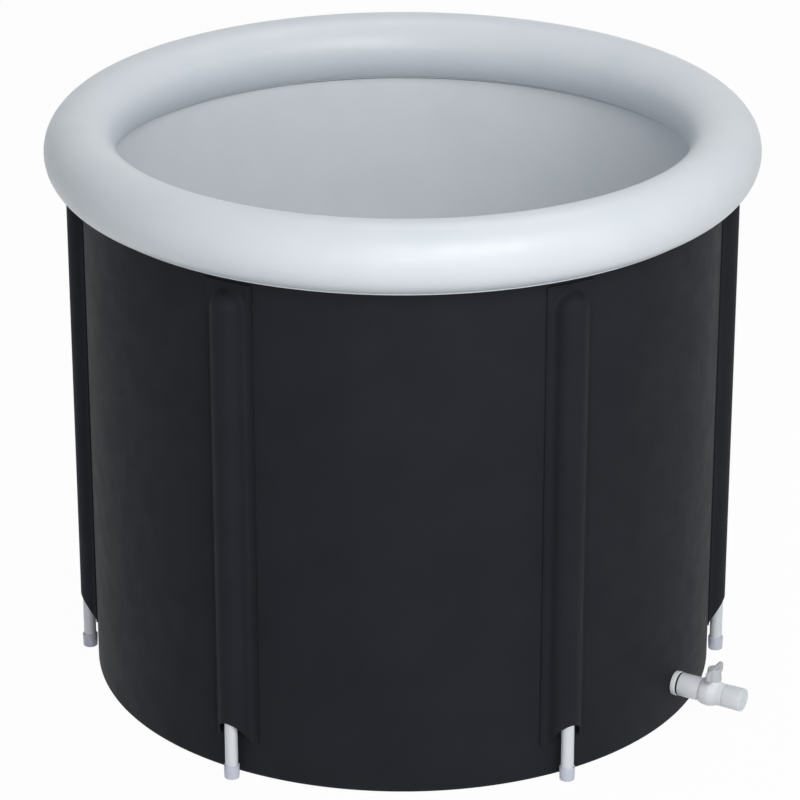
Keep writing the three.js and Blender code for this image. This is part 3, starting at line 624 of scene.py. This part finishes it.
def liner_floor():
    """The liner's floor with its rounded corner and upstand, softly uneven on top."""
    corner = (LINER_OUTSIDE - FLOOR_CORNER, floor_low.z + FLOOR_CORNER)
    inside = FLOOR_CORNER - LINER
    rings = 26
    spread = [corner[0] * ring / rings for ring in range(rings)]
    profile = [(radius, floor_low.z) for radius in spread]
    profile += arc(corner, (FLOOR_CORNER, FLOOR_CORNER), -90, 0, FLOOR_CORNER_STEPS)
    profile += [(LINER_OUTSIDE, floor_high.z), (LINER_OUTSIDE - LINER, floor_high.z)]
    profile += arc(corner, (inside, inside), 0, -90, FLOOR_CORNER_STEPS)
    profile += [(radius, floor_low.z + LINER) for radius in reversed(spread)]
    bm = turned(profile, TUB_STEPS, closed=False)
    for vert in bm.verts:
        if floor_low.z + LINER / 2 < vert.co.z < corner[1]:
            vert.co.z += ripple(vert.co, FLOOR_RIPPLE_SIZE, FLOOR_RIPPLE)
    piece("liner_floor_sheet", bm, "tub", "white_vinyl", LINER_VINYL, "liner_floor")


def base_layers():
    """The sheet under the hem, and the foam pad."""
    sheet = turned(sleeve(0, base_high.y, base_low.z, base_high.z), TUB_STEPS, closed=False)
    wrap_uv(soften(sheet, SHEET_EDGE), WALL_RADIUS)
    piece("base_sheet_disc", sheet, "tub", "black_skin", SKIN_COAT, "base_sheet")
    pad = turned(sleeve(0, pad_high.y, pad_low.z, pad_high.z), TUB_STEPS, closed=False)
    piece("base_foam_pad", soften(pad, PAD_EDGE), "tub", "wall_foam", WALL_FOAM, "base_foam")


# Inflated ring
def rim_ring():
    """The inflated tube, with a hole for its valve."""
    radii = (RING_HALF_WIDTH, RING_HALF_HEIGHT)
    bm = turned(arc(RING_CENTRE, radii, 0, 360, RING_SECTION_STEPS)[:-1], TUB_STEPS)
    hole = turned(sleeve(0, AIR_BOSS + SEAT_GAP, AIR_INNER, AIR_OUTER), closed=False)
    bm = combined(bm, placed(hole, AIR_PLACE @ ALONG_X), "DIFFERENCE")
    piece("rim_ring_tube", bm, "tub", "white_vinyl", RING_VINYL, "air_ring")


def ring_band():
    """Curved band under the ring, where it is welded to the top of the wall."""
    spread = math.degrees(BAND_HALF_ANGLE)
    upper = (RING_HALF_WIDTH + SEAT_GAP, RING_HALF_HEIGHT + SEAT_GAP)
    lower = (upper[0] + BAND, upper[1] + BAND)
    profile = arc(RING_CENTRE, lower, 270 - spread, 270 + spread, CORNER_STEPS)
    profile += arc(RING_CENTRE, upper, 270 + spread, 270 - spread, CORNER_STEPS)
    band = soften(turned(profile, TUB_STEPS), SHEET_EDGE)
    piece("ring_weld_band", band, "tub", "white_vinyl", RING_VINYL, "ring_band")


# Pole pockets
def pole_turn(number):
    return Matrix.Rotation((number - 1) * TURN / len(POLES), 4, "Z")


def channel_rise(distance):
    """Rise of the pocket above its strip: a half ellipse that runs out in a soft crease."""
    edge = CHANNEL_HALF_WIDTH * math.cos(CREASE_ANGLE)
    if distance <= edge:
        return CHANNEL_RISE * math.sqrt(1 - (distance / CHANNEL_HALF_WIDTH) ** 2)
    low = CHANNEL_RISE * math.sin(CREASE_ANGLE)
    slope = CHANNEL_RISE / CHANNEL_HALF_WIDTH / math.tan(CREASE_ANGLE)
    run = 2 * low / slope
    return low * max(1 - (distance - edge) / run, 0) ** 2


def weld_line(distance):
    """Depth of the pressed weld line that runs along the strip."""
    off = abs(distance - WELD_LINE) / WELD_LINE_WIDTH
    return WELD_LINE_DEPTH * max(1 - off * off, 0)


def pocket_side(share):
    """Distance from the middle line: close steps over the channel, then even ones to the strip's edge."""
    over_channel = 0.62
    size = abs(share)
    if size < over_channel:
        side = CHANNEL_HALF_WIDTH * math.sin(size / over_channel * math.pi / 2)
    else:
        out = (size - over_channel) / (1 - over_channel)
        side = CHANNEL_HALF_WIDTH + out * (POCKET_HALF_WIDTH - CHANNEL_HALF_WIDTH)
    return math.copysign(side, share)


def mouth_height(rise):
    """Height of the slant-cut mouth, which climbs with the channel's rise."""
    return POCKET_BOTTOM + (rise + POCKET_SKIN) * MOUTH_SLOPE


def pole_pocket(number):
    """A strip with a raised channel that ends in a dome above and a slant-cut mouth below."""
    straight_rows = 0.4
    strip = WALL_RADIUS + SEAT_GAP + POCKET_SKIN
    bm = bmesh.new()
    bmesh.ops.create_grid(bm, x_segments=64, y_segments=60, size=1)
    for vert in bm.verts:
        side = pocket_side(vert.co.x)
        climb = (vert.co.y + 1) / 2
        if climb <= straight_rows:
            rise = channel_rise(abs(side))
            mouth = mouth_height(rise)
            height = mouth + (DOME_CENTRE - mouth) * climb / straight_rows
        else:
            over = (climb - straight_rows) / (1 - straight_rows) * (POCKET_TOP - DOME_CENTRE)
            height = DOME_CENTRE + over
            rise = channel_rise(math.hypot(side, over))
        radius = strip + rise - weld_line(abs(side))
        angle = side / WALL_RADIUS
        vert.co = (radius * math.cos(angle), radius * math.sin(angle), height)
    bmesh.ops.recalc_face_normals(bm, faces=bm.faces)
    inner = bmesh.ops.extrude_face_region(bm, geom=bm.faces[:])
    for vert in new_verts(inner):
        vert.co -= vert.normal * POCKET_SKIN
    bmesh.ops.recalc_face_normals(bm, faces=bm.faces)
    wrap_uv(placed(bm, pole_turn(number)), WALL_RADIUS)
    piece(f"pocket_{number}", bm, "tub", "black_skin", SKIN_COAT, f"pole_pocket_{number}")


# Poles
def pole_pieces(number):
    """A pole's pipe with the cap at its foot and the rounded plug in its top."""
    place = pole_turn(number) @ Matrix.Translation((POLE_CENTRE, 0, 0))
    body = f"pole_{number}"
    bore = POLE_RADIUS - POLE_WALL
    pipe = turned(sleeve(bore, POLE_RADIUS, pole_low.z, pole_high.z))
    pipe = placed(soften(pipe, PIPE_EDGE), place)
    piece(f"pipe_{number}", pipe, body, "white_plastic", WHITE_PLASTIC, f"pole_{number}")
    cup = POLE_RADIUS + SEAT_GAP
    sole = CAP_RADIUS - CAP_TAPER
    profile = [(0, 0), (sole, 0), (CAP_RADIUS, cap_high.z)]
    profile += [(cup, cap_high.z), (cup, CAP_FLOOR), (0, CAP_FLOOR)]
    cap = placed(soften(turned(profile, closed=False), CAP_EDGE, WIDE_EDGE_STEPS), place)
    piece(f"foot_{number}", cap, body, "cap_plastic", CAP_PLASTIC, f"foot_cap_{number}")
    rim_low = pole_high.z + SEAT_GAP
    shank = bore - SEAT_GAP
    profile = [(0, plug_low.z), (shank, plug_low.z), (shank, rim_low), (POLE_RADIUS, rim_low)]
    profile += arc((0, DOME_CENTRE), (POLE_RADIUS, PLUG_DOME), 0, 90, CORNER_STEPS)[:-1]
    profile += [(0, plug_high.z)]
    plug = placed(soften(turned(profile, closed=False), POLE_PLUG_EDGE), place)
    piece(f"pole_end_{number}", plug, body, "white_plastic", WHITE_PLASTIC, f"top_plug_{number}")


# Drain
def along_pipe(profile, edge, closed=True, segments=EDGE_STEPS):
    """A piece turned about the pipe from (radius, distance from the tub's axis) points."""
    return placed(soften(turned(profile, closed=closed), edge, segments), DRAIN_PLACE @ ALONG_X)


def upright(profile, edge, segments=EDGE_STEPS):
    """A solid turned about the valve's stem from (radius, height above the pipe's axis) points."""
    return placed(soften(turned(profile, closed=False), edge, segments), STEM_PLACE)


def drain_through_wall():
    """The bulkhead's tube with its gasket inside the wall, its collar and the collar's seal outside."""
    tube_end = SOCKET_FLOOR - SEAT_GAP
    profile = [(BORE, FLANGE_INSIDE), (FLANGE, FLANGE_INSIDE), (FLANGE, FLANGE_OUTSIDE)]
    profile += [(TUBE, FLANGE_OUTSIDE), (TUBE, tube_end), (BORE, tube_end)]
    bulkhead = along_pipe(profile, COLLAR_EDGE)
    piece("bulkhead_tube", bulkhead, "tub", "white_plastic", WHITE_PLASTIC, "drain_bulkhead")
    gasket_start = GASKET_SEAT - GASKET_THICKNESS
    gasket = along_pipe(sleeve(TUBE_HOLE, FLANGE, gasket_start, GASKET_SEAT), GASKET_EDGE)
    piece("inner_gasket", gasket, "tub", "black_rubber", BLACK_RUBBER, "drain_gasket")
    collar = along_pipe(sleeve(TUBE_HOLE, COLLAR, COLLAR_START, COLLAR_END), COLLAR_EDGE)
    piece("lock_collar", collar, "tub", "white_plastic", WHITE_PLASTIC, "drain_collar")
    seal = along_pipe(sleeve(TUBE_HOLE, SEAL, SEAL_START, SEAL_END), SEAL_EDGE)
    piece("collar_seal", seal, "tub", "black_rubber", BLACK_RUBBER, "drain_seal")


def soft_fall(top, foot, steps):
    """Points after the top of a soft S that leaves it level and runs out level at the foot."""
    points = []
    for i in range(1, steps + 1):
        share = i / steps
        drop = (1 - math.cos(math.pi * share)) / 2
        points.append((top[0] + (foot[0] - top[0]) * share, top[1] + (foot[1] - top[1]) * drop))
    return points


def valve_body():
    """The socket, a crease and the rounded middle, with a boss that sweeps up to the handle."""
    swell = (BULGE_CROWN - SOCKET_END, BULGE - BULGE_EDGE)
    middle = arc((BULGE_CROWN, BULGE_EDGE), swell, 180, 90, CROWN_STEPS)
    middle += soft_fall((BULGE_CROWN, BULGE), (BULGE_FOOT, OUTLET), FALL_STEPS) + [(BODY_END, OUTLET)]
    profile = [(TUBE_HOLE, SOCKET_START), (SOCKET, SOCKET_START), (SOCKET, SOCKET_END - BODY_CREASE)]
    profile += [(SOCKET - BODY_CREASE, SOCKET_END)] + [(radius, distance) for distance, radius in middle]
    profile += [(CHAMBER, BODY_END), (CHAMBER, VALVE_CENTRE - SEAT_MOUTH)]
    profile += [(SEAT_POCKET, VALVE_CENTRE - SEAT_MOUTH), (SEAT_POCKET, VALVE_CENTRE - SEAT_BACK)]
    profile += [(BORE, VALVE_CENTRE - SEAT_BACK), (BORE, SOCKET_FLOOR), (TUBE_HOLE, SOCKET_FLOOR)]
    shell = along_pipe(profile, BODY_EDGE)
    sweep = arc((BOSS + BOSS_SWEEP, BOSS_TOP), (BOSS_SWEEP, BOSS_SWEEP), 250, 180, SWEEP_STEPS)
    neck = [(0, NECK_FOOT), (BOSS + BOSS_SWEEP, NECK_FOOT)] + sweep
    neck += [(NECK, BOSS_TOP), (NECK, NECK_TOP), (0, NECK_TOP)]
    body = combined(shell, upright(neck, NECK_EDGE), "UNION")
    stem_hole = upright(sleeve(0, STEM_HOLE, BORE, NECK_TOP + SEAT_GAP), STEM_HOLE_EDGE)
    body = combined(body, stem_hole, "DIFFERENCE")
    piece("valve_shell", body, "tub", "white_plastic", WHITE_PLASTIC, "valve_body")


def valve_outlet():
    """The outlet's spigot, whose insert holds the outer ball seat."""
    seat_mouth = VALVE_CENTRE + SEAT_MOUTH
    seat_back = VALVE_CENTRE + SEAT_BACK
    hole_end = STOPPER_START - SEAT_GAP
    profile = [(SEAT_POCKET, seat_mouth), (INSERT, seat_mouth), (INSERT, OUTLET_START)]
    profile += [(OUTLET, OUTLET_START), (OUTLET_FLARE, OUTLET_END), (STOPPER_HOLE, OUTLET_END)]
    profile += [(STOPPER_HOLE, hole_end), (BORE, hole_end), (BORE, seat_back), (SEAT_POCKET, seat_back)]
    outlet = along_pipe(profile, OUTLET_EDGE, segments=WIDE_EDGE_STEPS)
    piece("outlet_spigot", outlet, "tub", "white_plastic", WHITE_PLASTIC, "valve_outlet")


def outlet_plug():
    """The plug with a coin slot in its face, and the seal in its groove."""
    seal_start = STOPPER_START + STOPPER_SEAL
    seal_end = seal_start + STOPPER_SEAL
    profile = [(0, STOPPER_START), (STOPPER, STOPPER_START), (STOPPER, seal_start - SEAT_GAP)]
    profile += [(STOPPER_GROOVE, seal_start - SEAT_GAP), (STOPPER_GROOVE, seal_end + SEAT_GAP)]
    profile += [(STOPPER, seal_end + SEAT_GAP), (STOPPER, OUTLET_END), (0, OUTLET_END)]
    plug = along_pipe(profile, STOPPER_EDGE, closed=False)
    slot = box(COIN_SLOT, DRAIN_PLACE @ Matrix.Translation((OUTLET_END, 0, 0)))
    plug = combined(plug, slot, "DIFFERENCE")
    piece("outlet_stopper", plug, "drain_plug", "white_plastic", WHITE_PLASTIC, "outlet_plug")
    section = sleeve(STOPPER_GROOVE + SEAT_GAP, STOPPER + SEAT_GAP / 2, seal_start, seal_end)
    seal = along_pipe(section, STOPPER_SEAL_EDGE)
    piece("stopper_seal", seal, "drain_plug", "black_rubber", BLACK_RUBBER, "plug_seal")


def round_corners(bm, verts, radius):
    bmesh.ops.bevel(
        bm, geom=verts, offset=radius, offset_type="OFFSET", segments=6, profile=0.5,
        affect="VERTICES", material=-1,
    )


def handle_wings():
    """The plate of both wings: large rounds at its lower corners, small ones above."""
    bm = bmesh.new()
    corners = [(-WING_REACH, WING_BOTTOM), (WING_REACH, WING_BOTTOM)]
    corners += [(WING_REACH, WING_TOP), (-WING_REACH, WING_TOP)]
    verts = [bm.verts.new((-WING_THICKNESS / 2, across, height)) for across, height in corners]
    bm.faces.new(verts)
    round_corners(bm, verts[:2], WING_HEEL)
    upper = [vert for vert in bm.verts if vert.co.z > WING_TOP - WING_ROUND]
    round_corners(bm, upper, WING_ROUND)
    pushed = bmesh.ops.extrude_face_region(bm, geom=bm.faces[:])
    bmesh.ops.translate(bm, vec=(WING_THICKNESS, 0, 0), verts=new_verts(pushed))
    bmesh.ops.recalc_face_normals(bm, faces=bm.faces)
    return placed(soften(bm, WING_EDGE), STEM_PLACE)


def valve_handle():
    """A tapered hub with two wings, hollow below for the neck and the stem's end."""
    profile = [(0, HUB_BOTTOM), (HUB, HUB_BOTTOM), (HUB_CROWN, HUB_TOP), (0, HUB_TOP)]
    hub = upright(profile, HUB_EDGE, segments=WIDE_EDGE_STEPS)
    handle = combined(hub, handle_wings(), "UNION")
    neck_room = NECK + SEAT_GAP
    neck_end = NECK_TOP + SEAT_GAP
    stem_end = STEM_TOP + SEAT_GAP
    socket = [(0, BOSS_TOP), (neck_room, BOSS_TOP), (neck_room, neck_end)]
    socket += [(STEM_HOLE, neck_end), (STEM_HOLE, stem_end), (0, stem_end)]
    handle = combined(handle, upright(socket, HUB_SOCKET_EDGE), "DIFFERENCE")
    piece("butterfly_handle", handle, "drain_handle", "handle_plastic", HANDLE_PLASTIC, "valve_handle")


def drain_strainer():
    """A grate with upright slots, held by its skirt in the drain's bore."""
    skirt_end = STRAINER_FACE + STRAINER_DEPTH
    profile = [(0, STRAINER_FRONT), (STRAINER, STRAINER_FRONT), (STRAINER, STRAINER_FACE)]
    profile += [(STRAINER_SKIRT, STRAINER_FACE), (STRAINER_SKIRT, skirt_end)]
    profile += [(STRAINER_OPENING, skirt_end), (STRAINER_OPENING, STRAINER_FACE), (0, STRAINER_FACE)]
    grate = along_pipe(profile, STRAINER_EDGE, closed=False)
    pitch = 2 * STRAINER_OPENING / STRAINER_SLOTS
    for number in range(STRAINER_SLOTS):
        across = (number - (STRAINER_SLOTS - 1) / 2) * pitch
        chord = 2 * math.sqrt(STRAINER_OPENING ** 2 - (abs(across) + STRAINER_SLOT_WIDTH / 2) ** 2)
        place = DRAIN_PLACE @ Matrix.Translation((STRAINER_FACE, across, 0))
        grate = combined(grate, box((STRAINER_DEPTH, STRAINER_SLOT_WIDTH, chord), place), "DIFFERENCE")
    piece("strainer_grate", grate, "tub", "white_plastic", WHITE_PLASTIC, "drain_strainer")


# Inflation valve
def ring_surface(across, up, offset):
    """Distance from the tub's axis of the ring's outer side, in the valve's own frame."""
    height = min(abs(up) / (RING_HALF_HEIGHT + offset), 1)
    radial = RING_RADIUS + (RING_HALF_WIDTH + offset) * math.sqrt(1 - height * height)
    return math.sqrt(radial * radial - across * across)


def air_valve():
    """A flange that follows the ring's skin, the boss through it and the bar that holds the flap."""
    bm = bmesh.new()
    rings = 6
    width = AIR_FLANGE - AIR_FLANGE_START
    spoke = [bm.verts.new((0, 0, AIR_FLANGE_START + width * ring / rings)) for ring in range(rings + 1)]
    edges = [bm.edges.new(pair) for pair in zip(spoke, spoke[1:])]
    bmesh.ops.spin(
        bm, geom=spoke + edges, cent=(0, 0, 0), axis=(1, 0, 0), angle=TURN, steps=SMALL_STEPS,
        use_merge=True,
    )
    upper = bmesh.ops.extrude_face_region(bm, geom=bm.faces[:])
    raised = set(new_verts(upper))
    for vert in bm.verts:
        offset = SEAT_GAP + (AIR_FLANGE_THICKNESS if vert in raised else 0)
        vert.co.x = ring_surface(vert.co.y, vert.co.z, offset)
    bmesh.ops.recalc_face_normals(bm, faces=bm.faces)
    soften(bm, AIR_FLANGE_EDGE, THIN_EDGE_STEPS)
    boss = soften(turned(sleeve(AIR_BORE, AIR_BOSS, AIR_INNER, AIR_OUTER)), AIR_BOSS_EDGE)
    base = placed(combined(bm, placed(boss, ALONG_X), "UNION"), AIR_PLACE)
    spider = box(SPIDER, AIR_PLACE @ Matrix.Translation((AIR_INNER + SPIDER[0] / 2, 0, 0)))
    base = combined(base, spider, "UNION")
    piece("air_valve_flange", base, "tub", "white_vinyl", RING_VINYL, "air_valve_base")


def lid_strap():
    """The strap from the lid's edge over the boss to its root on the flange."""
    root = joint_named["air_cap_hinge"]["pos_m"]
    side = [(LID_BOTTOM, LID - STRAP_THICKNESS), (LID_BOTTOM, STRAP_BEND), (root[1], root[2] - RING_HEIGHT)]
    bm = bmesh.new()
    verts = [bm.verts.new((out, -STRAP_HALF_WIDTH, up)) for out, up in side]
    edges = [bm.edges.new(pair) for pair in zip(verts, verts[1:])]
    across = bmesh.ops.extrude_edge_only(bm, edges=edges)
    bmesh.ops.translate(bm, vec=(0, 2 * STRAP_HALF_WIDTH, 0), verts=new_verts(across))
    thick = bmesh.ops.extrude_face_region(bm, geom=bm.faces[:])
    bmesh.ops.translate(bm, vec=(STRAP_THICKNESS, 0, 0), verts=new_verts(thick))
    bmesh.ops.recalc_face_normals(bm, faces=bm.faces)
    return placed(soften(bm, STRAP_EDGE, THIN_EDGE_STEPS), AIR_PLACE)


def air_cap():
    """The lid with its plug below, a dish in its face and its strap."""
    floor = LID_BOTTOM - LID_PLUG_DEPTH
    profile = [(0, floor), (LID_PLUG_TIP, floor), (LID_PLUG, LID_BOTTOM), (LID, LID_BOTTOM), (LID, LID_TOP)]
    profile += [(LID_DISH, LID_TOP), (LID_DISH - LID_DISH_DEPTH, LID_TOP - LID_DISH_DEPTH)]
    profile += [(0, LID_TOP - LID_DISH_DEPTH)]
    head = placed(soften(turned(profile, closed=False), LID_EDGE), AIR_PLACE @ ALONG_X)
    cap = combined(head, lid_strap(), "UNION")
    piece("air_valve_lid", cap, "air_cap", "white_vinyl", RING_VINYL, "air_valve_cap")


def dress_inner_nodes():
    """Inner pieces keep their CAD shape and take a finish."""
    finishes = {
        "valve_ball": WHITE_PLASTIC, "valve_stem": WHITE_PLASTIC,
        "ball_seat_inner": SEAT_PLASTIC, "ball_seat_outer": SEAT_PLASTIC,
        "stem_seal": BLACK_RUBBER, "air_valve_flap": BLACK_RUBBER,
    }
    for name, material in finishes.items():
        for slot in frame["nodes"][name].material_slots:
            slot.material = material


# Stage and studio
def white_when_seen(tree, share):
    """How much of the plain white shows to the camera and in reflections."""
    path = add(tree, "ShaderNodeLightPath")
    seen = path.outputs["Is Camera Ray"]
    for ray in ("Is Glossy Ray", "Is Transmission Ray"):
        either = add(tree, "ShaderNodeMath", {0: seen, 1: path.outputs[ray]}, operation="MAXIMUM")
        seen = either.outputs["Value"]
    return add(tree, "ShaderNodeMath", {0: seen, 1: share}, operation="MULTIPLY").outputs["Value"]


def stage_floor():
    bm = bmesh.new()
    bmesh.ops.create_grid(bm, x_segments=1, y_segments=1, size=FLOOR_REACH)
    mesh = mesh_from("stage_floor", placed(bm, Matrix.Translation((0, 0, -FLOOR_DROP))))
    floor = new_object("stage_floor", mesh)
    material = bpy.data.materials.new("stage_floor")
    material.use_nodes = True
    tree = material.node_tree
    shader = tree.nodes["Principled BSDF"]
    shader.inputs["Base Color"].default_value = FLOOR_GREY
    shader.inputs["Roughness"].default_value = FLOOR_ROUGHNESS
    shader.inputs["Specular IOR Level"].default_value = FLOOR_SPECULAR
    white = add(tree, "ShaderNodeEmission", {"Color": WHITE, "Strength": 1.0})
    seen = white_when_seen(tree, FLOOR_WHITE_SHARE)
    mix = add(
        tree, "ShaderNodeMixShader",
        {0: seen, 1: shader.outputs["BSDF"], 2: white.outputs["Emission"]},
    )
    tree.links.new(mix.outputs["Shader"], tree.nodes["Material Output"].inputs["Surface"])
    mesh.materials.append(material)


def studio_world():
    world = bpy.data.worlds.new("studio")
    bpy.context.scene.world = world
    world.use_nodes = True
    tree = world.node_tree
    soft = tree.nodes["Background"]
    soft.inputs["Color"].default_value = SKY
    soft.inputs["Strength"].default_value = SKY_STRENGTH
    white = add(tree, "ShaderNodeBackground", {"Color": WHITE, "Strength": 1.0})
    seen = white_when_seen(tree, SKY_WHITE_SHARE)
    mix = add(
        tree, "ShaderNodeMixShader",
        {0: seen, 1: soft.outputs["Background"], 2: white.outputs["Background"]},
    )
    tree.links.new(mix.outputs["Shader"], tree.nodes["World Output"].inputs["Surface"])


def softbox(name, place, size, power):
    """An area light that points at the tub's middle."""
    light = bpy.data.lights.new(name, "AREA")
    light.shape = "RECTANGLE"
    light.size, light.size_y = size
    light.energy = power
    lamp = new_object(name, light)
    lamp.location = place
    lamp.rotation_euler = (Vector(LIGHT_TARGET) - Vector(place)).to_track_quat("-Z", "Y").to_euler()


def studio_lights():
    softbox("front_top", place=(1.0, -2.6, 2.5), size=(2.2, 1.6), power=53)
    softbox("front_fill", place=(0.2, -3.2, 1.25), size=(2.0, 0.8), power=16)
    softbox("overhead", place=(0.4, 0.9, 2.9), size=(1.6, 1.2), power=11)


def photo_camera():
    camera = bpy.data.cameras.new("camera")
    camera.sensor_width = SENSOR_WIDTH
    camera.lens = FOCAL_LENGTH
    camera.shift_x = CAMERA_SHIFT
    view = new_object("camera", camera)
    view.location = CAMERA_PLACE
    view.rotation_euler = (CAMERA_TILT, 0, CAMERA_TURN)
    bpy.context.scene.camera = view


photo_camera()
outer_skin()
skin_seam()
foam_layer()
liner_wall()
liner_floor()
base_layers()
rim_ring()
ring_band()
for number in POLES:
    pole_pocket(number)
    pole_pieces(number)
drain_through_wall()
valve_body()
valve_outlet()
outlet_plug()
valve_handle()
drain_strainer()
air_valve()
air_cap()
dress_inner_nodes()
stage_floor()
studio_world()
studio_lights()
bpy.context.scene.view_settings.view_transform = "Standard"
